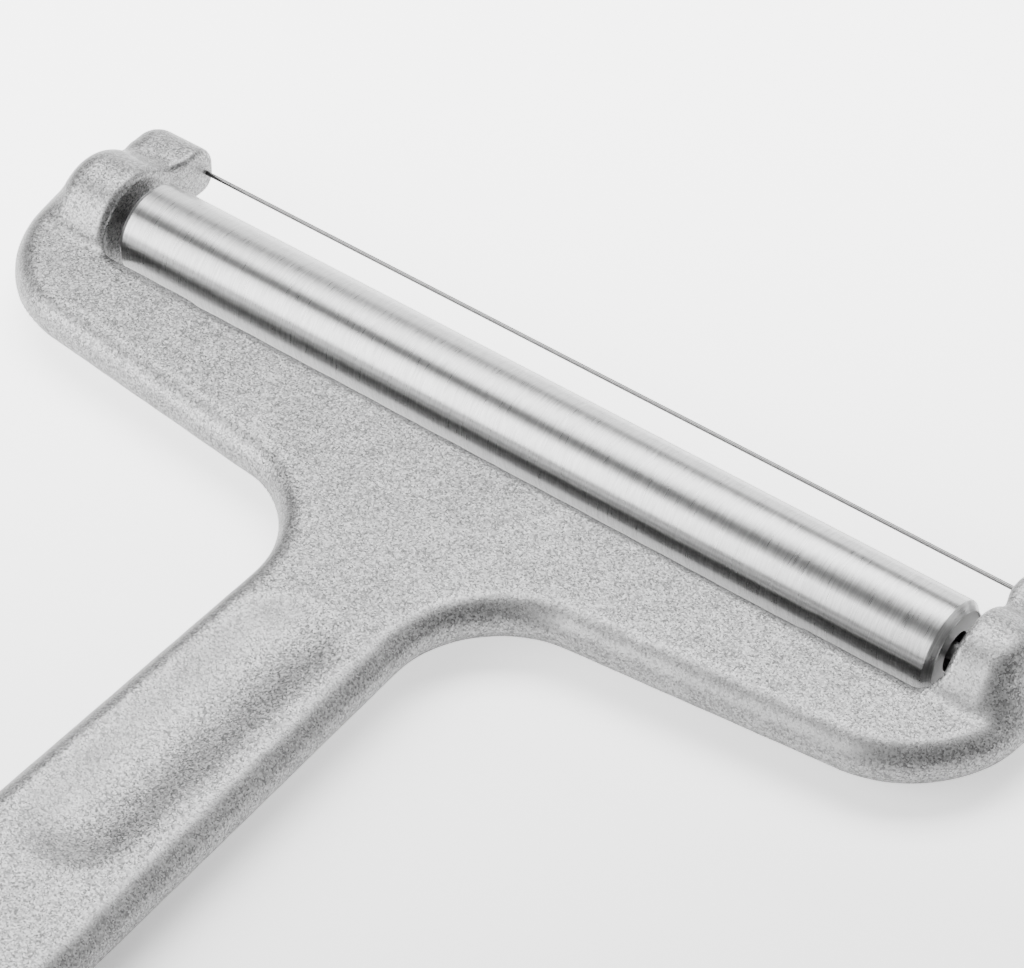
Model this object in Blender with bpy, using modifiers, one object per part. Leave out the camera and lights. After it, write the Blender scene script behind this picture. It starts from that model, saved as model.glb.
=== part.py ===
"""Roller cheese slicer: a cast aluminium T-frame, a steel roller and a taut cutting wire.

World frame: X runs along the roller, Y from the handle towards the wire, Z up. The tool
rests at Z = 0 on the feet of its two bosses and the flat heel under the handle, and the
middle of its plan box is the origin.
"""

import math

import bmesh
import bpy
from mathutils import Vector

MM = 0.001

# ------------------------------------------------------------------ driving dimensions (mm)
OVERALL_LENGTH = 195.0
FRONT_OVERHANG = 12.0        # front of an arm tip, measured from the roller axis
ARM_HALF_WIDTH = 63.0        # outer edge of an arm beside the axle
ARM_FLARE = 0.08             # the outer edge runs outwards this much per mm towards the front
BOSS_RADIUS = 6.1            # round boss about the axle; its foot is the lowest point
AXIS_HEIGHT = BOSS_RADIUS
FRAME_TOP = AXIS_HEIGHT + 1.4
FRAME_UNDER = AXIS_HEIGHT - 3.4
HEEL_START = -5.0            # the handle thickens downwards from here
HEEL_END = -72.0             # to here, and stays flat to its end

HANDLE_HALF_WIDTH_AT_AXIS = 8.89
HANDLE_FLARE = 0.017         # growth of the half width per mm towards the handle end
HANDLE_END_RADIUS = 11.5
NECK_RADIUS = 10.8
CROSSBAR_DEPTH_BEHIND_AXIS = 23.1
CROSSBAR_TAPER = 0.107       # the rear edge comes forward this much per mm outwards
CORNER_RADIUS = 11.7
SLOT_WALL_BEHIND_AXIS = 7.1
SLOT_CORNER_RADIUS = 2.3
SLOT_SHIFT = 0.45            # the slot and tips lie this far right of the handle's middle
ARM_INNER = 53.1             # side wall of the slot, from the middle of the slot
ARM_ROOT_FRONT = 6.6         # front of the low part of an arm, from the roller axis
ARM_FRONT_RADIUS = 6.0

TOP_ROUNDING = 2.9
UNDER_ROUNDING = 1.3
SLOT_TOP_ROUNDING = 1.2
SLOT_UNDER_ROUNDING = 0.4

TIP_INNER = 52.4             # the tips come closer together than the bosses
CREST_OUTER = 60.6           # outer faces of the bosses and tips
INNER_ROUNDING = 1.2
OUTER_ROUNDING = 1.9
TIP_BACK = 5.6               # where the tip rises out of the valley behind it
TIP_TOP = 3.5                # all four measured from the roller axis
TIP_UNDER = -2.55
TIP_TOP_RADIUS = 3.0
TIP_UNDER_RADIUS = 2.1

THUMB_GROOVE_START = 34.0    # both ends measured behind the roller axis
THUMB_GROOVE_END = 71.5
THUMB_GROOVE_WIDTH = 12.6
THUMB_GROOVE_DEPTH = 1.5
HANDLE_STATIONS = 16
HANG_HOLE_DIAMETER = 7.0
HANG_HOLE_FROM_END = 9.5

ROLLER_DIAMETER = 10.5
ROLLER_HALF_LENGTH = 51.6
ROLLER_CHAMFER = 0.8
ROLLER_SHIFT = 0.3           # the roller lies a little right of the handle's middle
TUBE_BORE = 8.8
PLUG_LENGTH = 9.0
PLUG_MOUTH_DIAMETER = 4.4
PLUG_MOUTH_DEPTH = 3.2
PLUG_RUNNING_BORE = 2.6
AXLE_DIAMETER = 2.0
AXLE_HALF_LENGTH = 60.9
AXLE_END_DOME = 0.35

WIRE_DIAMETER = 0.5
WIRE_FROM_AXIS = 10.6
WIRE_BORE = 1.2
NIPPLE_DIAMETER = 2.0
NIPPLE_LENGTH = 2.6
NIPPLE_SEAT_DIAMETER = 2.6
NIPPLE_SEAT_DEPTH = 3.4      # from the outer face of the tip

GAP = 0.3                    # clearance left between pieces that touch

AXIS_Y = OVERALL_LENGTH / 2 - FRONT_OVERHANG
HANDLE_END = -OVERALL_LENGTH / 2


# ------------------------------------------------------------------ scene helpers
def clear_scene():
    for obj in list(bpy.data.objects):
        bpy.data.objects.remove(obj, do_unlink=True)


def collection(name, hidden=False):
    made = bpy.data.collections.new(name)
    bpy.context.scene.collection.children.link(made)
    made.hide_render = hidden
    return made


def material(name, colour, metallic, roughness):
    made = bpy.data.materials.new(name)
    made.use_nodes = True
    shader = made.node_tree.nodes["Principled BSDF"]
    shader.inputs["Base Color"].default_value = (*colour, 1.0)
    shader.inputs["Metallic"].default_value = metallic
    shader.inputs["Roughness"].default_value = roughness
    return made


def add_mesh(name, points, faces, home, look=None):
    """A mesh object from points in mm, with its faces turned outwards."""
    mesh = bpy.data.meshes.new(name)
    mesh.from_pydata([Vector(p) * MM for p in points], [], faces)
    tidy = bmesh.new()
    tidy.from_mesh(mesh)
    bmesh.ops.recalc_face_normals(tidy, faces=tidy.faces)
    tidy.to_mesh(mesh)
    tidy.free()
    obj = bpy.data.objects.new(name, mesh)
    home.objects.link(obj)
    if look:
        mesh.materials.append(look)
    return obj


def cutter(obj):
    obj.hide_render = True
    obj.display_type = "WIRE"
    return obj


def boolean(obj, other, operation):
    step = obj.modifiers.new(f"{operation.title()} {other.name}", "BOOLEAN")
    step.operation = operation
    step.solver = "EXACT"
    step.object = other


# ------------------------------------------------------------------ plain geometry
def arc(centre, radius, start, end, steps):
    """Points of an arc, angles in degrees, both ends included."""
    points = []
    for i in range(steps + 1):
        angle = math.radians(start + (end - start) * i / steps)
        points.append((centre[0] + radius * math.cos(angle), centre[1] + radius * math.sin(angle)))
    return points


def fillet(before, corner, after, radius, steps):
    """Points of the arc that rounds one corner of a polygon."""
    corner = Vector(corner)
    back = (Vector(before) - corner).normalized()
    ahead = (Vector(after) - corner).normalized()
    half = back.angle(ahead) / 2
    reach = radius / math.tan(half)
    centre = corner + (back + ahead).normalized() * radius / math.sin(half)
    first = corner + back * reach - centre
    last = corner + ahead * reach - centre
    turn = first.angle_signed(last)
    points = []
    for i in range(steps + 1):
        angle = -turn * i / steps
        x = first.x * math.cos(angle) - first.y * math.sin(angle)
        y = first.x * math.sin(angle) + first.y * math.cos(angle)
        points.append((centre.x + x, centre.y + y))
    return points


def turned(name, profile, segments, home, look=None, centre=(0.0, 0.0, 0.0), rotation=(0.0, 0.0, 0.0)):
    """A turned piece: a profile of (along, radius) pairs screwed about its X axis.

    A profile that never meets the axis is closed into a ring.
    """
    points = [(along * MM, radius * MM, 0.0) for along, radius in profile]
    edges = [(i, i + 1) for i in range(len(points) - 1)]
    if min(radius for along, radius in profile) > 0:
        edges.append((len(points) - 1, 0))
    mesh = bpy.data.meshes.new(name)
    mesh.from_pydata(points, edges, [])
    if look:
        mesh.materials.append(look)
    obj = bpy.data.objects.new(name, mesh)
    home.objects.link(obj)
    obj.location = Vector(centre) * MM
    obj.rotation_euler = [math.radians(angle) for angle in rotation]
    pairs = zip(profile, profile[1:] + profile[:1])
    area = sum(one[0] * two[1] - two[0] * one[1] for one, two in pairs)
    screw = obj.modifiers.new("Turn", "SCREW")
    screw.axis = "X"
    screw.steps = segments
    screw.render_steps = segments
    screw.use_merge_vertices = True
    screw.merge_threshold = 0.00001
    screw.use_normal_calculate = False
    screw.use_normal_flip = area < 0
    return obj


# ------------------------------------------------------------------ frame casting
def plan_outline():
    """The frame seen from above, as (x, y, top rounding, underside rounding).

    The outside is symmetric, and the slot is shifted sideways within it.
    """
    rear_at_middle = AXIS_Y - CROSSBAR_DEPTH_BEHIND_AXIS
    # where the outer edge of an arm meets the rear edge of the crossbar
    corner_x = (ARM_HALF_WIDTH - ARM_FLARE * CROSSBAR_DEPTH_BEHIND_AXIS) / (1 - ARM_FLARE * CROSSBAR_TAPER)
    handle_at_axis = HANDLE_HALF_WIDTH_AT_AXIS
    end_half_width = handle_at_axis + HANDLE_FLARE * (AXIS_Y - HANDLE_END)
    # where the side of the handle meets the rear edge of the crossbar
    neck_x = (handle_at_axis + HANDLE_FLARE * CROSSBAR_DEPTH_BEHIND_AXIS) / (
        1 + HANDLE_FLARE * CROSSBAR_TAPER
    )
    neck_y = rear_at_middle + CROSSBAR_TAPER * neck_x
    slot_wall = AXIS_Y - SLOT_WALL_BEHIND_AXIS
    front = AXIS_Y + ARM_ROOT_FRONT
    outer = (TOP_ROUNDING, UNDER_ROUNDING)
    inner = (SLOT_TOP_ROUNDING, SLOT_UNDER_ROUNDING)
    corners = [
        ((end_half_width, HANDLE_END), HANDLE_END_RADIUS, 14, outer),
        ((neck_x, neck_y), NECK_RADIUS, 10, outer),
        ((corner_x, rear_at_middle + CROSSBAR_TAPER * corner_x), CORNER_RADIUS, 10, outer),
        ((ARM_HALF_WIDTH + ARM_FLARE * ARM_ROOT_FRONT, front), ARM_FRONT_RADIUS, 8, outer),
        ((ARM_INNER, front), 1.5, 3, inner),
        ((ARM_INNER, slot_wall), SLOT_CORNER_RADIUS, 5, inner),
    ]
    path = [(0.0, HANDLE_END)] + [c[0] for c in corners] + [(0.0, slot_wall)]
    half = []
    for i, (corner, radius, steps, rounding) in enumerate(corners):
        rounded = fillet(path[i], corner, path[i + 2], radius, steps)
        if i == 1:
            last = half[-1]
            for station in range(1, HANDLE_STATIONS):
                part = station / HANDLE_STATIONS
                x = last[0] + (rounded[0][0] - last[0]) * part
                half.append((x, last[1] + (rounded[0][1] - last[1]) * part, *rounding))
        for x, y in rounded:
            half.append((x, y, *rounding))
    right = []
    left = []
    for x, y, top, under in half:
        shift = SLOT_SHIFT if (top, under) == inner else 0.0
        right.append((x + shift, y, top, under))
        left.append((shift - x, y, top, under))
    return right + left[::-1]


def inward(points):
    """Unit vectors that point into a counter-clockwise outline."""
    vectors = []
    for i, here in enumerate(points):
        before = Vector(here[:2]) - Vector(points[i - 1][:2])
        after = Vector(points[(i + 1) % len(points)][:2]) - Vector(here[:2])
        along = before.normalized() + after.normalized()
        vectors.append(Vector((-along.y, along.x)).normalized())
    return vectors


def under_height(y):
    """Height of the underside: flat, then a heel that reaches the level of the bosses."""
    part = min(max((HEEL_START - y) / (HEEL_START - HEEL_END), 0.0), 1.0)
    return FRAME_UNDER * (1.0 - part * part * (3.0 - 2.0 * part))


def frame_plate(home, look):
    outline = plan_outline()
    into = inward(outline)
    levels = []
    for i in range(4):
        angle = math.radians(90 * i / 3)
        levels.append(("under", 1 - math.sin(angle), 1 - math.cos(angle)))
    for i in range(6):
        angle = math.radians(90 * i / 5)
        levels.append(("top", 1 - math.cos(angle), 1 - math.sin(angle)))
    points = []
    for kind, inset, drop in levels:
        for (x, y, top, under), n in zip(outline, into):
            rounding = top if kind == "top" else under
            z = FRAME_TOP - rounding * drop if kind == "top" else under_height(y) + rounding * drop
            points.append((x + n.x * rounding * inset, y + n.y * rounding * inset, z))
    count = len(outline)
    faces = []
    handle = next(i for i, p in enumerate(outline) if p[1] > HEEL_START) + 2
    for first in (0, len(points) - count):
        for i in range(handle):
            faces.append([first + i, first + i + 1, first + count - 2 - i, first + count - 1 - i])
        faces.append([first + i for i in range(handle, count - handle)])
    for level in range(len(levels) - 1):
        for i in range(count):
            k = (i + 1) % count
            low = level * count
            faces.append([low + i, low + k, low + count + k, low + count + i])
    return add_mesh("frame_casting", points, faces, home, look)


def boss(name, side, home):
    """The round boss about the axle, its inner and outer edges rounded."""
    inner = ARM_INNER + side * SLOT_SHIFT
    inner_edge = arc((inner + INNER_ROUNDING, BOSS_RADIUS - INNER_ROUNDING), INNER_ROUNDING, 180, 90, 3)
    outer_edge = arc((CREST_OUTER - OUTER_ROUNDING, BOSS_RADIUS - OUTER_ROUNDING), OUTER_ROUNDING, 90, 0, 5)
    profile = [(inner, 0.0)] + inner_edge + outer_edge + [(CREST_OUTER, 0.0)]
    profile = [(side * along, radius) for along, radius in profile]
    return cutter(turned(name, profile, 64, home, centre=(0.0, AXIS_Y, AXIS_HEIGHT)))


def tip_profile():
    """Side view of the block that holds the wire, relative to the roller axis."""
    front = FRONT_OVERHANG
    top_centre = (front - TIP_TOP_RADIUS, TIP_TOP - TIP_TOP_RADIUS)
    under_centre = (front - TIP_UNDER_RADIUS, TIP_UNDER + TIP_UNDER_RADIUS)
    nose = arc(under_centre, TIP_UNDER_RADIUS, -90, 0, 5) + arc(top_centre, TIP_TOP_RADIUS, 0, 90, 6)
    return [(TIP_BACK, TIP_UNDER)] + nose + [(TIP_BACK, TIP_TOP)]


def tip(name, side, home):
    """The block that holds the wire: its side view run across the arm, with rounded edges."""
    profile = tip_profile()
    into = inward(profile)
    inner = TIP_INNER + side * SLOT_SHIFT
    rows = []
    for i in range(4):
        angle = math.radians(90 * i / 3)
        rows.append((inner + INNER_ROUNDING * (1 - math.cos(angle)), INNER_ROUNDING * (1 - math.sin(angle))))
    for i in range(6):
        angle = math.radians(90 * i / 5)
        drop = OUTER_ROUNDING * (1 - math.sin(angle))
        rows.append((CREST_OUTER - drop, OUTER_ROUNDING * (1 - math.cos(angle))))
    points = []
    for x, inset in rows:
        for (y, z), n in zip(profile, into):
            points.append((side * x, AXIS_Y + y + n.x * inset, AXIS_HEIGHT + z + n.y * inset))
    count = len(profile)
    faces = [list(range(count)), list(range(len(points) - count, len(points)))]
    for row in range(len(rows) - 1):
        for i in range(count):
            k = (i + 1) % count
            low = row * count
            faces.append([low + i, low + k, low + count + k, low + count + i])
    return cutter(add_mesh(name, points, faces, home))


def thumb_groove(home):
    """A long shallow scoop: a capsule lying along Y, mostly above the handle."""
    half_width = THUMB_GROOVE_WIDTH / 2
    depth = THUMB_GROOVE_DEPTH
    radius = (half_width ** 2 + depth ** 2) / (2 * depth)
    first = half_width - (THUMB_GROOVE_END - THUMB_GROOVE_START) / 2
    profile = arc((first, 0.0), radius, 180, 90, 24) + arc((-first, 0.0), radius, 90, 0, 24)
    profile[0] = (profile[0][0], 0.0)
    profile[-1] = (profile[-1][0], 0.0)
    middle = AXIS_Y - (THUMB_GROOVE_START + THUMB_GROOVE_END) / 2
    centre = (0.0, middle, FRAME_TOP + radius - depth)
    return cutter(turned("cut_thumb_groove", profile, 72, home, centre=centre, rotation=(0, 0, 90)))


def hanging_hole(home):
    """An upright hole with softly flared mouths."""
    radius = HANG_HOLE_DIAMETER / 2
    flare = 0.8
    top = FRAME_TOP
    profile = [(-1.0, 0.0), (-1.0, radius + flare + 1.0), (flare, radius), (top - flare, radius)]
    profile += [(top + 1.0, radius + flare + 1.0), (top + 1.0, 0.0)]
    centre = (0.0, HANDLE_END + HANG_HOLE_FROM_END, 0.0)
    return cutter(turned("cut_hanging_hole", profile, 40, home, centre=centre, rotation=(0, -90, 0)))


def axle_bore(name, side, home):
    radius = AXLE_DIAMETER / 2 + GAP
    inside = side * (ARM_INNER - 4)
    outside = side * (ARM_HALF_WIDTH + 2)
    profile = [(inside, 0.0), (inside, radius), (outside, radius), (outside, 0.0)]
    return cutter(turned(f"cut_axle_{name}", profile, 24, home, centre=(0.0, AXIS_Y, AXIS_HEIGHT)))


def wire_bore(name, side, home):
    """A bore for the wire with a wider seat for the nipple, open to the outer face."""
    narrow = WIRE_BORE / 2
    wide = NIPPLE_SEAT_DIAMETER / 2
    inside = side * (ARM_INNER - 4)
    seat = side * (CREST_OUTER - NIPPLE_SEAT_DEPTH)
    outside = side * (ARM_HALF_WIDTH + 2)
    profile = [(inside, 0.0), (inside, narrow), (seat, narrow), (seat, wide)]
    profile += [(outside, wide), (outside, 0.0)]
    centre = (0.0, AXIS_Y + WIRE_FROM_AXIS, AXIS_HEIGHT)
    return cutter(turned(f"cut_wire_{name}", profile, 20, home, centre=centre))


def build_frame(parts, cutters, look):
    frame = frame_plate(parts, look)
    for name, side in (("left", -1), ("right", 1)):
        boolean(frame, boss(f"boss_{name}", side, cutters), "UNION")
        boolean(frame, tip(f"tip_{name}", side, cutters), "UNION")
    boolean(frame, thumb_groove(cutters), "DIFFERENCE")
    boolean(frame, hanging_hole(cutters), "DIFFERENCE")
    for name, side in (("left", -1), ("right", 1)):
        boolean(frame, axle_bore(name, side, cutters), "DIFFERENCE")
        boolean(frame, wire_bore(name, side, cutters), "DIFFERENCE")
    return frame


# ------------------------------------------------------------------ roller, axle and wire
def build_roller(parts, steel, bushing):
    """The running parts; each has its origin on the roller axis."""
    centre = (ROLLER_SHIFT, AXIS_Y, AXIS_HEIGHT)
    outer = ROLLER_DIAMETER / 2
    bore = TUBE_BORE / 2
    length = ROLLER_HALF_LENGTH
    chamfer = ROLLER_CHAMFER
    tube = [(-length, bore), (-length, outer - chamfer), (-length + chamfer, outer)]
    tube += [(length - chamfer, outer), (length, outer - chamfer), (length, bore)]
    turned("roller_tube", tube, 72, parts, steel, centre=centre)
    fit = bore - GAP
    mouth = PLUG_MOUTH_DIAMETER / 2
    running = PLUG_RUNNING_BORE / 2
    for name, side in (("left", -1), ("right", 1)):
        plug = [(length, mouth), (length, fit - 0.1), (length - 0.1, fit)]
        plug += [(length - PLUG_LENGTH, fit), (length - PLUG_LENGTH, running)]
        plug += [(length - PLUG_MOUTH_DEPTH, running), (length - PLUG_MOUTH_DEPTH, mouth)]
        plug = [(side * along, radius) for along, radius in plug]
        turned(f"roller_plug_{name}", plug, 48, parts, bushing, centre=centre)


def build_axle(parts, look):
    radius = AXLE_DIAMETER / 2
    length = AXLE_HALF_LENGTH
    dome = AXLE_END_DOME
    profile = [(-length, 0.0), (-length, radius - dome), (-length + dome, radius)]
    profile += [(length - dome, radius), (length, radius - dome), (length, 0.0)]
    turned("axle_rod", profile, 32, parts, look, centre=(0.0, AXIS_Y, AXIS_HEIGHT))


def build_wire(parts, wire_look, nipple_look):
    """The taut wire and the nipples that hold its ends in the tips."""
    centre = (0.0, AXIS_Y + WIRE_FROM_AXIS, AXIS_HEIGHT)
    seat = CREST_OUTER - NIPPLE_SEAT_DEPTH
    head_inner = seat + GAP
    radius = WIRE_DIAMETER / 2
    end = head_inner - GAP / 2
    profile = [(-end, 0.0), (-end, radius), (end, radius), (end, 0.0)]
    turned("cutting_wire", profile, 20, parts, wire_look, centre=centre)
    head = NIPPLE_DIAMETER / 2
    edge = 0.3
    for name, side in (("left", -1), ("right", 1)):
        nipple = [(head_inner, 0.0), (head_inner, head - edge), (head_inner + edge, head)]
        nipple += [(head_inner + NIPPLE_LENGTH - edge, head), (head_inner + NIPPLE_LENGTH, head - edge)]
        nipple += [(head_inner + NIPPLE_LENGTH, 0.0)]
        nipple = [(side * along, r) for along, r in nipple]
        turned(f"wire_nipple_{name}", nipple, 28, parts, nipple_look, centre=centre)


def main():
    clear_scene()
    parts = collection("roller_cheese_slicer")
    cutters = collection("cutters", hidden=True)
    cast = material("tumbled_cast_aluminium", (0.62, 0.62, 0.62), 0.9, 0.45)
    steel = material("brushed_stainless_steel", (0.66, 0.66, 0.67), 1.0, 0.28)
    bushing = material("turned_steel_plug", (0.50, 0.50, 0.51), 1.0, 0.35)
    rod = material("drawn_steel_axle", (0.45, 0.45, 0.46), 1.0, 0.30)
    wire = material("stainless_wire", (0.55, 0.55, 0.56), 1.0, 0.25)
    nipple = material("plated_steel_nipple", (0.58, 0.57, 0.55), 1.0, 0.32)
    build_frame(parts, cutters, cast)
    build_roller(parts, steel, bushing)
    build_axle(parts, rod)
    build_wire(parts, wire, nipple)


main()
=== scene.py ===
import math

import bpy
import numpy as np
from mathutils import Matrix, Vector


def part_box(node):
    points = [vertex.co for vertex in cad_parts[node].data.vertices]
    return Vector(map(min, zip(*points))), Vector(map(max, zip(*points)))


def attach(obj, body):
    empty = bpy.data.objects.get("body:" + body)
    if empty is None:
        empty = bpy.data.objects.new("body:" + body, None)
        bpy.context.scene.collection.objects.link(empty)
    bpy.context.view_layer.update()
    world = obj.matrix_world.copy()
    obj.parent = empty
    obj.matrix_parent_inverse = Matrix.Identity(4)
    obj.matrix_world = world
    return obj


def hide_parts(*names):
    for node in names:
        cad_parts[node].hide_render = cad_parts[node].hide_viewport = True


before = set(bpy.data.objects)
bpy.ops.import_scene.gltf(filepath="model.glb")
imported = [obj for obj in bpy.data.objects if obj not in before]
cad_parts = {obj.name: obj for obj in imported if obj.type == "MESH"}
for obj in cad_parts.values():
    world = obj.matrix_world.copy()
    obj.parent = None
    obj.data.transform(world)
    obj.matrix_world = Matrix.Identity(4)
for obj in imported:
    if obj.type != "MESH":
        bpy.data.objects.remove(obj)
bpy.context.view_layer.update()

MM = 0.001

scene = bpy.context.scene
for leftover in ("Cube", "Light", "Camera"):
    if leftover in bpy.data.objects:
        bpy.data.objects.remove(bpy.data.objects[leftover], do_unlink=True)


# ------------------------------------------------------------------ places and sizes (mm)
def box_mm(node):
    low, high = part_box(node)
    return np.array(low) / MM, np.array(high) / MM


frame_low, frame_high = box_mm("frame_casting")
tube_low, tube_high = box_mm("roller_tube")
wire_low, wire_high = box_mm("cutting_wire")
rod_low, rod_high = box_mm("axle_rod")
AXIS_Y = (tube_low[1] + tube_high[1]) / 2
AXIS_Z = (tube_low[2] + tube_high[2]) / 2
ROLLER_X = (tube_low[0] + tube_high[0]) / 2
ROLLER_HALF = (tube_high[0] - tube_low[0]) / 2
ROLLER_RADIUS = (tube_high[2] - tube_low[2]) / 2
WIRE_V = (wire_low[1] + wire_high[1]) / 2 - AXIS_Y
WIRE_RADIUS = (wire_high[2] - wire_low[2]) / 2
ROD_RADIUS = (rod_high[2] - rod_low[2]) / 2
HANDLE_END = frame_low[1] - AXIS_Y        # lengths along the handle are measured from the axis
TIP_FRONT = frame_high[1] - AXIS_Y
BOSS_RADIUS = AXIS_Z                      # the boss just reaches the table

# the casting; heights are measured from the roller axis
PLATE_TOP = 1.4
PLATE_UNDER = -3.4
HEEL_START, HEEL_END = -90.5, -157.5
HANDLE_HALF_WIDTH, HANDLE_FLARE, HANDLE_END_RADIUS = 8.89, 0.017, 11.5
CROSSBAR_DEPTH, CROSSBAR_TAPER = 23.1, 0.107
ARM_HALF_WIDTH, ARM_FLARE = 63.0, 0.08
NECK_RADIUS, CORNER_RADIUS = 10.8, 11.7
ARM_FRONT, ARM_FRONT_RADIUS = 6.6, 6.0
SLOT_SHIFT = 0.45                         # the slot lies a little right of the handle's middle
ARM_INNER, SLOT_WALL, SLOT_CORNER_RADIUS = 53.1, 6.9, 2.3
TOP_ROUNDING, UNDER_ROUNDING = 2.9, 1.3
TIP_INNER, TIP_BACK, TIP_TOP, TIP_UNDER = 52.4, 5.4, 3.6, -2.6
TIP_TOP_RADIUS, TIP_BACK_RADIUS, TIP_UNDER_RADIUS = 3.0, 2.2, 2.1
CREST_OUTER, CREST_ROUNDING = 60.6, 3.2
GROOVE_START, GROOVE_END, GROOVE_WIDTH, GROOVE_DEPTH = -34.0, -73.0, 11.0, 1.25
GROOVE_SHIFT = -0.6                       # the scoop lies a little left of the handle's middle
HOLE_FROM_END, HOLE_RADIUS = 9.5, 3.5
NIPPLE_SEAT_RADIUS, NIPPLE_SEAT_DEPTH = 1.3, 3.4
PARTING_HEIGHT, PARTING_STEP, DRAFT = -2.0, 0.28, 0.03
SLOT_EDGE, SLOT_REAR_EDGE = 0.9, 1.5      # roundings of the slot's edges beside and behind the roller
BOSS_TO_TIP, RAISED_TO_PLATE = 2.4, 2.2   # fillets
RAISED_FROM, BORE_FROM = 40.0, 45.0       # the arms' raised shapes and the rod's bore start here
GROOVE_EDGE, HOLE_EDGE, BORE_EDGE, SEAT_EDGE = 0.7, 1.6, 0.6, 0.7
ROD_CLEARANCE = 0.2
WAVINESS = 0.018
CELL = 0.3


# ------------------------------------------------------------------ distance fields (mm)
def corner(a, b, radius):
    """What two solids share, its outer edge rounded."""
    both = np.hypot(np.maximum(a + radius, 0.0), np.maximum(b + radius, 0.0))
    return np.minimum(np.maximum(a, b), -radius) + both


def valley(a, b, radius):
    """Two solids joined, the inner corner between them filled."""
    return -corner(-a, -b, radius)


def carve(solid, cut, softness):
    """A solid less a cut, with a soft edge even where they meet at a shallow angle."""
    near = np.maximum(softness - np.abs(solid + cut), 0.0) / softness
    return np.maximum(solid, -cut) + near * near * softness / 4


def ease(low, high, value):
    part = np.clip((value - low) / (high - low), 0.0, 1.0)
    return part * part * (3.0 - 2.0 * part)


def plan(u, v):
    """The casting seen from above, without the roller slot."""
    handle = (u - HANDLE_HALF_WIDTH + HANDLE_FLARE * v) / math.hypot(1, HANDLE_FLARE)
    handle = corner(handle, HANDLE_END - v, HANDLE_END_RADIUS)
    rear = (CROSSBAR_TAPER * u - CROSSBAR_DEPTH - v) / math.hypot(1, CROSSBAR_TAPER)
    outer = (u - ARM_HALF_WIDTH - ARM_FLARE * v) / math.hypot(1, ARM_FLARE)
    head = corner(rear, outer, CORNER_RADIUS)
    head = corner(head, v - ARM_FRONT, ARM_FRONT_RADIUS)
    return valley(handle, head, NECK_RADIUS)


def slot(u, v):
    """The opening between the arms seen from above, narrower between the tips."""
    inner = ARM_INNER - (ARM_INNER - TIP_INNER) * ease(ROLLER_RADIUS, ROLLER_RADIUS + 3.0, v)
    return corner(u - inner, -(v + SLOT_WALL), SLOT_CORNER_RADIUS)


def raised(u, v, w):
    """The round boss about the axle and the block that holds the wire."""
    boss = np.hypot(v, w) - BOSS_RADIUS
    tip = corner(v - TIP_FRONT, w - TIP_TOP, TIP_TOP_RADIUS)
    tip = corner(tip, TIP_UNDER - w, TIP_UNDER_RADIUS)
    tip = corner(tip, TIP_BACK - v, TIP_BACK_RADIUS)
    both = valley(boss, tip, BOSS_TO_TIP)
    both = np.maximum(both, RAISED_FROM - u)
    return corner(both, u - CREST_OUTER, CREST_ROUNDING)


def groove(across, v, w):
    """A long shallow scoop for the thumb: a thick rod lying along the handle, mostly above it."""
    half = GROOVE_WIDTH / 2
    radius = (half ** 2 + GROOVE_DEPTH ** 2) / (2 * GROOVE_DEPTH)
    along = v - np.clip(v, GROOVE_END + half, GROOVE_START - half)
    height = w - (PLATE_TOP + radius - GROOVE_DEPTH)
    return np.sqrt(across ** 2 + along ** 2 + height ** 2) - radius


def casting(x, y, z):
    """Distance to the surface of the casting, negative inside."""
    u, v, w = np.abs(x), y - AXIS_Y, z - AXIS_Z
    under = PLATE_UNDER + (-AXIS_Z - PLATE_UNDER) * ease(-HEEL_START, -HEEL_END, -v)
    parting = under + PARTING_HEIGHT - PLATE_UNDER
    side = plan(u, v) + PARTING_STEP * (1.0 - ease(-0.1, 0.1, w - parting)) + DRAFT * np.abs(w - parting)
    body = corner(w - PLATE_TOP, side, TOP_ROUNDING)
    body = corner(body, under - w, UNDER_ROUNDING)
    body = valley(body, raised(u, v, w), RAISED_TO_PLATE)
    edge = SLOT_EDGE + (SLOT_REAR_EDGE - SLOT_EDGE) * ease(6.0, 7.5, -v)
    body = corner(body, -slot(np.abs(x - SLOT_SHIFT), v), edge)
    body = carve(body, groove(x - GROOVE_SHIFT, v, w), GROOVE_EDGE)
    hole = np.hypot(u, v - HANDLE_END - HOLE_FROM_END) - HOLE_RADIUS
    body = carve(body, hole, HOLE_EDGE)
    bore = np.hypot(v, w) - ROD_RADIUS - ROD_CLEARANCE
    body = carve(body, np.maximum(bore, BORE_FROM - u), BORE_EDGE)
    seat = np.hypot(v - WIRE_V, w) - NIPPLE_SEAT_RADIUS
    body = carve(body, np.maximum(seat, CREST_OUTER - NIPPLE_SEAT_DEPTH - u), SEAT_EDGE)
    wave = np.sin(0.83 * x + 1.9 * np.sin(0.31 * y)) * np.sin(0.71 * y + 1.7 * np.sin(0.37 * x) + w)
    return body + WAVINESS * wave


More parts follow.
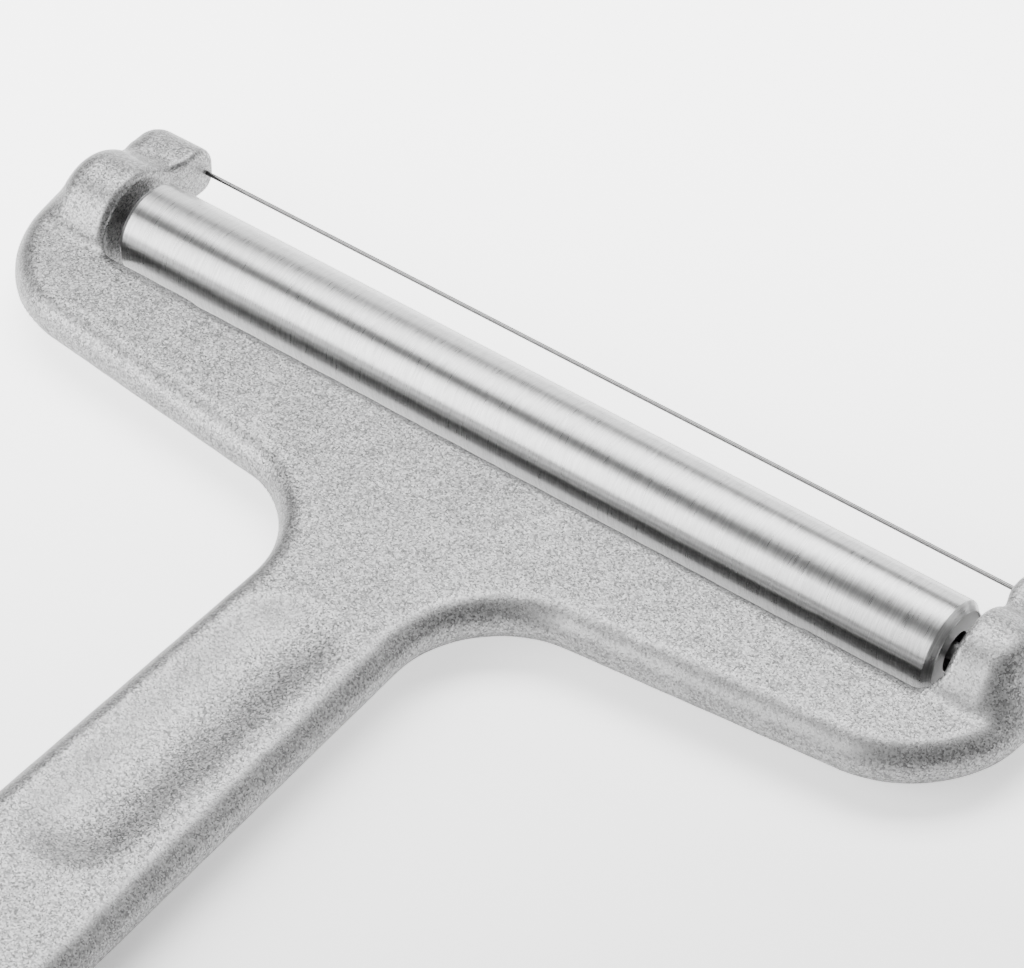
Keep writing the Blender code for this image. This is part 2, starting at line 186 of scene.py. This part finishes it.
def surface_nets(field, low, cell):
    """Points and quads of a field's zero surface: one point in each cell that it passes through."""
    inside = field < 0
    size = np.array(field.shape) - 1
    corners = [(i, j, k) for i in (0, 1) for j in (0, 1) for k in (0, 1)]
    count = np.zeros(size, np.uint8)
    for i, j, k in corners:
        count += inside[i:i + size[0], j:j + size[1], k:k + size[2]]
    cells = np.argwhere((count > 0) & (count < 8))
    number = np.full(size, -1, np.int32)
    number[tuple(cells.T)] = np.arange(len(cells))
    total = np.zeros((len(cells), 3))
    hits = np.zeros(len(cells))
    for a in corners:
        for axis in range(3):
            if a[axis]:
                continue
            step = np.zeros(3, int)
            step[axis] = 1
            one = field[tuple((cells + a).T)]
            two = field[tuple((cells + a + step).T)]
            crossed = (one < 0) != (two < 0)
            share = np.where(crossed, one / np.where(crossed, one - two, 1.0), 0.0)
            total += crossed[:, None] * (np.array(a) + share[:, None] * step)
            hits += crossed
    points = low + (cells + total / hits[:, None]) * cell
    quads = []
    for axis in range(3):
        b, c = (axis + 1) % 3, (axis + 2) % 3
        ahead = np.take(inside, range(1, field.shape[axis]), axis)
        here = np.take(inside, range(field.shape[axis] - 1), axis)
        at = np.argwhere(here != ahead)
        side_b, side_c = np.zeros(3, int), np.zeros(3, int)
        side_b[b], side_c[c] = 1, 1
        ring = [number[tuple((at - s).T)] for s in (0 * side_b, side_b, side_b + side_c, side_c)]
        ring = np.stack(ring, 1)
        leaves = here[tuple(at.T)]
        quads.append(np.where(leaves[:, None], ring, ring[:, ::-1]))
    return points, np.concatenate(quads)


def gradient(points, step=0.02):
    slopes = []
    for axis in range(3):
        shift = np.zeros(3)
        shift[axis] = step
        slopes.append(casting(*(points + shift).T) - casting(*(points - shift).T))
    return np.stack(slopes, 1) / (2 * step)


def casting_mesh():
    margin = 3 * CELL
    low, high = frame_low - margin, frame_high + margin
    counts = np.ceil((high - low) / CELL).astype(int) + 1
    xs, ys, zs = (low[i] + CELL * np.arange(counts[i]) for i in range(3))
    field = np.full(counts, 1.0, np.float32)
    grid_x, grid_y = np.meshgrid(xs, ys, indexing="ij")
    u, v = np.abs(grid_x), grid_y - AXIS_Y
    near = (plan(u, v) < 1.2) | ((u > TIP_INNER - 2.0) & (v > -SLOT_WALL) & (v < TIP_FRONT + 1.2))
    near &= slot(np.abs(grid_x - SLOT_SHIFT), v) > -2.5
    columns = np.argwhere(near)
    x = xs[columns[:, 0]][:, None]
    y = ys[columns[:, 1]][:, None]
    field[columns[:, 0], columns[:, 1]] = casting(x, y, zs[None, :])
    points, quads = surface_nets(field, low, CELL)
    for _ in range(2):
        slope = gradient(points)
        length = np.maximum((slope ** 2).sum(1), 0.25)
        move = casting(*points.T) / length
        points = points - slope * np.clip(move, -CELL / 2, CELL / 2)[:, None]
    slope = gradient(points)
    normals = slope / np.linalg.norm(slope, axis=1)[:, None]
    return points, quads, normals


# ------------------------------------------------------------------ pieces
def add_piece(name, points, faces, look, body, replaced, normals=None):
    mesh = bpy.data.meshes.new(name)
    mesh.from_pydata(np.asarray(points) * MM, [], np.asarray(faces).tolist()
                     if isinstance(faces, np.ndarray) else faces)
    mesh.shade_smooth()
    if normals is not None:
        mesh.normals_split_custom_set_from_vertices(normals)
    else:
        mesh.set_sharp_from_angle(angle=math.radians(28))
    mesh.materials.append(look)
    piece = bpy.data.objects.new(name, mesh)
    scene.collection.objects.link(piece)
    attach(piece, body)
    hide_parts(replaced)
    return piece


def turned(profile, segments, centre, closed):
    """Points and faces of (along, radius) pairs turned about an axis along X."""
    points, faces, rings = [], [], []
    for along, radius in profile:
        ring = []
        for j in range(1 if radius < 1e-6 else segments):
            angle = 2 * math.pi * j / segments
            ring.append(len(points))
            points.append((centre[0] + along, centre[1] + radius * math.cos(angle),
                           centre[2] + radius * math.sin(angle)))
        rings.append(ring * segments if len(ring) == 1 else ring)
    for one, two in zip(rings, rings[1:] + rings[:1] if closed else rings[1:]):
        for j in range(segments):
            k = (j + 1) % segments
            faces.append(list(dict.fromkeys((one[j], two[j], two[k], one[k]))))
    return points, faces


def arc(centre, radius, start, end, steps):
    angles = [math.radians(start + (end - start) * i / steps) for i in range(steps + 1)]
    return [(centre[0] + radius * math.cos(a), centre[1] + radius * math.sin(a)) for a in angles]


# ------------------------------------------------------------------ materials
class Look:
    """A metal material and short ways to add nodes to it."""

    def __init__(self, name):
        self.material = bpy.data.materials.new(name)
        self.material.use_nodes = True
        self.nodes = self.material.node_tree.nodes
        self.links = self.material.node_tree.links
        self.shader = self.nodes["Principled BSDF"]
        self.shader.inputs["Metallic"].default_value = 1.0

    def add(self, kind, **settings):
        node = self.nodes.new(kind)
        for key, value in settings.items():
            setattr(node, key, value)
        return node

    def link(self, source, target):
        self.links.new(source, target)

    def coordinates(self, scale):
        where = self.add("ShaderNodeTexCoord")
        mapping = self.add("ShaderNodeMapping")
        mapping.inputs["Scale"].default_value = scale
        self.link(where.outputs["Object"], mapping.inputs["Vector"])
        return mapping.outputs["Vector"]

    def noise(self, scale, detail=2.0, roughness=0.5):
        node = self.add("ShaderNodeTexNoise")
        node.inputs["Scale"].default_value = 1.0
        node.inputs["Detail"].default_value = detail
        node.inputs["Roughness"].default_value = roughness
        self.link(self.coordinates(scale), node.inputs["Vector"])
        return node.outputs["Fac"]

    def spread(self, value, low, high, from_low=0.3, from_high=0.7):
        node = self.add("ShaderNodeMapRange")
        node.inputs["From Min"].default_value = from_low
        node.inputs["From Max"].default_value = from_high
        node.inputs["To Min"].default_value = low
        node.inputs["To Max"].default_value = high
        self.link(value, node.inputs["Value"])
        return node.outputs["Result"]

    def mixed(self, one, two, kind="MULTIPLY"):
        node = self.add("ShaderNodeMath", operation=kind)
        self.link(one, node.inputs[0])
        if isinstance(two, float):
            node.inputs[1].default_value = two
        else:
            self.link(two, node.inputs[1])
        return node.outputs[0]

    def grey(self, value):
        self.link(value, self.shader.inputs["Base Color"])

    def bump(self, height, distance, before=None):
        node = self.add("ShaderNodeBump")
        node.inputs["Distance"].default_value = distance
        self.link(height, node.inputs["Height"])
        if before:
            self.link(before, node.inputs["Normal"])
        return node.outputs["Normal"]


def cast_look():
    """Tumbled cast aluminium: fine crystals that face every way, over a faint orange peel."""
    look = Look("tumbled_cast_aluminium")
    crystals = look.add("ShaderNodeTexVoronoi")
    crystals.inputs["Scale"].default_value = 1.0
    look.link(look.coordinates((6000, 6000, 6000)), crystals.inputs["Vector"])
    tilt = look.add("ShaderNodeVectorMath", operation="MULTIPLY_ADD")
    look.link(crystals.outputs["Color"], tilt.inputs[0])
    tilt.inputs[1].default_value = (0.17, 0.17, 0.17)
    tilt.inputs[2].default_value = (-0.085, -0.085, -0.085)
    peel = look.bump(look.noise((1300, 1300, 1300), 3.0), 0.000008)
    joined = look.add("ShaderNodeVectorMath", operation="ADD")
    look.link(peel, joined.inputs[0])
    look.link(tilt.outputs[0], joined.inputs[1])
    unit = look.add("ShaderNodeVectorMath", operation="NORMALIZE")
    look.link(joined.outputs[0], unit.inputs[0])
    look.link(unit.outputs[0], look.shader.inputs["Normal"])
    parts = look.add("ShaderNodeSeparateColor")
    look.link(crystals.outputs["Color"], parts.inputs["Color"])
    specks = look.spread(parts.outputs["Red"], 0.10, 0.33, 0.0, 1.0)
    clouds = look.spread(look.noise((140, 140, 140), 3.0), 0.94, 1.06)
    look.grey(look.mixed(specks, clouds))
    look.shader.inputs["Roughness"].default_value = 0.46
    return look.material


def roller_look():
    """Stainless tube polished with a belt while it turned: scratches round the axis, long soft bands."""
    look = Look("brushed_stainless_steel")
    fine = look.noise((9000, 520, 520), 2.0, 0.6)
    coarse = look.noise((3600, 260, 260), 3.0, 0.6)
    look.link(look.bump(coarse, 0.0000035, look.bump(fine, 0.000004)), look.shader.inputs["Normal"])
    look.grey(look.mixed(look.spread(fine, 0.27, 0.39), look.spread(coarse, 0.88, 1.1)))
    look.link(look.spread(coarse, 0.26, 0.34), look.shader.inputs["Roughness"])
    look.shader.inputs["Anisotropic"].default_value = 0.8
    look.shader.inputs["Anisotropic Rotation"].default_value = 0.25
    round_the_axis = look.add("ShaderNodeTangent", direction_type="RADIAL", axis="X")
    look.link(round_the_axis.outputs["Tangent"], look.shader.inputs["Tangent"])
    return look.material


def brushed_look(name, grey, roughness, bump=0.000004, along=9000, across=260):
    """Steel turned and brushed: fine scratches that run round the X axis."""
    look = Look(name)
    fine = look.noise((along, across, across), 2.0, 0.6)
    coarse = look.noise((along / 4, across / 2, across / 2), 3.0, 0.6)
    look.link(look.bump(coarse, bump * 2, look.bump(fine, bump)), look.shader.inputs["Normal"])
    look.grey(look.mixed(look.spread(fine, grey * 0.93, grey * 1.05), look.spread(coarse, 0.95, 1.04)))
    look.link(look.spread(coarse, roughness * 0.85, roughness * 1.2), look.shader.inputs["Roughness"])
    return look.material


# ------------------------------------------------------------------ the object
def build_casting():
    points, quads, normals = casting_mesh()
    add_piece("casting", points, quads, cast_look(), "frame", "frame_casting", normals)


def build_roller():
    centre = (ROLLER_X, AXIS_Y, AXIS_Z)
    bore, chamfer, edge = 4.4, 0.8, 0.12
    steel = roller_look()
    end = ROLLER_HALF
    right = [(end - chamfer - edge, ROLLER_RADIUS), (end - chamfer, ROLLER_RADIUS - 0.03)]
    right += [(end - 0.05, ROLLER_RADIUS - chamfer), (end, ROLLER_RADIUS - chamfer - 0.07)]
    right += [(end, bore + 0.08), (end - 0.08, bore)]
    profile = right + [(-along, radius) for along, radius in reversed(right)]
    points, faces = turned(profile, 256, centre, True)
    add_piece("roller_sleeve", points, faces, steel, "roller", "roller_tube")
    plug_look = brushed_look("turned_plug_steel", 0.34, 0.34, along=5000)
    mouth, running = 2.2, 1.3
    for name, side in (("left", -1), ("right", 1)):
        profile = [(end - 0.1, mouth + 0.1), (end - 0.1, bore - 0.05), (end - 0.2, bore - 0.02)]
        profile += [(end - 9.0, bore - 0.02), (end - 9.0, running), (end - 3.2, running)]
        profile += [(end - 3.2, mouth), (end - 0.2, mouth)]
        profile = [(side * along, radius) for along, radius in profile]
        points, faces = turned(profile[::side], 96, centre, True)
        add_piece(f"roller_bushing_{name}", points, faces, plug_look, "roller",
                  f"roller_plug_{name}")


def build_rod_and_wire():
    rod_look = brushed_look("drawn_axle_steel", 0.34, 0.32)
    end = rod_high[0]
    cap = arc((end - 0.35, ROD_RADIUS - 0.35), 0.35, 90, 0, 5) + [(end, 0.0)]
    profile = [(-along, radius) for along, radius in reversed(cap)] + cap
    points, faces = turned(profile, 64, (0.0, AXIS_Y, AXIS_Z), False)
    add_piece("axle_pin", points, faces, rod_look, "frame", "axle_rod")

    wire_look = brushed_look("stainless_wire", 0.13, 0.25, along=1500, across=3000)
    end = wire_high[0]
    profile = [(-end, 0.0), (-end, WIRE_RADIUS), (end, WIRE_RADIUS), (end, 0.0)]
    centre = (0.0, AXIS_Y + WIRE_V, AXIS_Z)
    points, faces = turned(profile, 32, centre, False)
    add_piece("wire_strand", points, faces, wire_look, "frame", "cutting_wire")

    nipple_look = brushed_look("plated_nipple", 0.34, 0.30)
    for name, side in (("left", -1), ("right", 1)):
        low, high = box_mm(f"wire_nipple_{name}")
        radius = (high[2] - low[2]) / 2
        inner, outer = sorted((abs(low[0]), abs(high[0])))
        profile = [(inner, 0.0)] + arc((inner + 0.3, radius - 0.3), 0.3, 180, 90, 4)
        profile += arc((outer - 0.5, radius - 0.5), 0.5, 90, 0, 6) + [(outer, 0.0)]
        profile = [(side * along, r) for along, r in profile]
        points, faces = turned(profile[::side], 64, centre, False)
        add_piece(f"nipple_{name}", points, faces, nipple_look, "frame",
                  f"wire_nipple_{name}")


# ------------------------------------------------------------------ camera, floor and light
AZIMUTH, ELEVATION = math.radians(37.32), math.radians(44.62)
CAMERA_DISTANCE = 0.41806
LENS, SENSOR = 144.04, 36.0
VIEW_RIGHT, VIEW_UP = 0.0016531, 0.0058469       # how far off the middle the roller's centre lies


def build_camera():
    back = Vector((math.sin(AZIMUTH) * math.cos(ELEVATION), -math.cos(AZIMUTH) * math.cos(ELEVATION),
                   math.sin(ELEVATION)))
    right = Vector((math.cos(AZIMUTH), math.sin(AZIMUTH), 0.0))
    up = back.cross(right)
    aim = Vector((0.0, AXIS_Y, AXIS_Z)) * MM - right * VIEW_RIGHT - up * VIEW_UP
    data = bpy.data.cameras.new("camera")
    data.sensor_width, data.lens, data.clip_start = SENSOR, LENS, 0.01
    camera = bpy.data.objects.new("camera", data)
    scene.collection.objects.link(camera)
    camera.location = aim + back * CAMERA_DISTANCE
    camera.rotation_mode = "QUATERNION"
    camera.rotation_quaternion = (-back).to_track_quat("-Z", "Y")
    scene.camera = camera


def build_floor():
    half = 3.0
    mesh = bpy.data.meshes.new("floor")
    mesh.from_pydata([(-half, -half, 0), (half, -half, 0), (half, half, 0), (-half, half, 0)],
                     [], [(0, 1, 2, 3)])
    floor = bpy.data.objects.new("floor", mesh)
    scene.collection.objects.link(floor)
    look = bpy.data.materials.new("floor")
    look.use_nodes = True
    shader = look.node_tree.nodes["Principled BSDF"]
    shader.inputs["Base Color"].default_value = (0.9, 0.9, 0.9, 1)
    shader.inputs["Roughness"].default_value = 0.9
    shader.inputs["Specular IOR Level"].default_value = 0.0
    # Painted light: the floor glows, from none beside the object to 2.8 on its far side, a painted
    # brightening of the far floor instead of light from the lamps
    shader.inputs["Emission Color"].default_value = (1, 1, 1, 1)
    where = look.node_tree.nodes.new("ShaderNodeTexCoord")
    away = look.node_tree.nodes.new("ShaderNodeVectorMath")
    away.operation = "DOT_PRODUCT"
    away.inputs[1].default_value = (-math.sin(AZIMUTH), math.cos(AZIMUTH), 0.0)
    painted_far_glow = look.node_tree.nodes.new("ShaderNodeMapRange")
    painted_far_glow.interpolation_type = "SMOOTHSTEP"
    painted_far_glow.inputs["From Min"].default_value = -0.04
    painted_far_glow.inputs["From Max"].default_value = 0.14
    painted_far_glow.inputs["To Min"].default_value = 0.0
    painted_far_glow.inputs["To Max"].default_value = 2.8
    look.node_tree.links.new(where.outputs["Object"], away.inputs[0])
    look.node_tree.links.new(away.outputs["Value"], painted_far_glow.inputs["Value"])
    look.node_tree.links.new(painted_far_glow.outputs["Result"], shader.inputs["Emission Strength"])
    mesh.materials.append(look)


def softbox(name, tilt, spread, lean, width, radiance):
    """A long light parallel to the roller and a metre from it.

    Tilt and spread are angles in degrees from overhead towards the handle; lean is to the left.
    """
    data = bpy.data.lights.new(name, "AREA")
    data.shape = "RECTANGLE"
    data.size = width
    data.size_y = 2 * math.tan(math.radians(spread / 2))
    data.energy = math.pi * data.size * data.size_y * radiance
    light = bpy.data.objects.new(name, data)
    scene.collection.objects.link(light)
    tilt = math.radians(tilt)
    towards = Vector((-lean, -math.sin(tilt), math.cos(tilt)))
    light.location = Vector((0.0, AXIS_Y, AXIS_Z)) * MM + towards
    light.rotation_mode = "QUATERNION"
    light.rotation_quaternion = towards.to_track_quat("Z", "Y")
    light.visible_camera = False


def build_light():
    world = bpy.data.worlds.new("studio")
    scene.world = world
    world.use_nodes = True
    background = world.node_tree.nodes["Background"]
    background.inputs["Color"].default_value = (1, 1, 1, 1)
    background.inputs["Strength"].default_value = 0.48
    softbox("top_box", -18.0, 34, 0.25, 1.25, 11.0)
    softbox("front_box", 60.5, 43, 0.58, 1.0, 11.5)
    softbox("back_box", -74, 28, 0.3, 1.4, 4.0)
    softbox("right_box", -50, 36, -1.1, 0.9, 2.4)


build_camera()
build_casting()
build_roller()
build_rod_and_wire()
build_floor()
build_light()
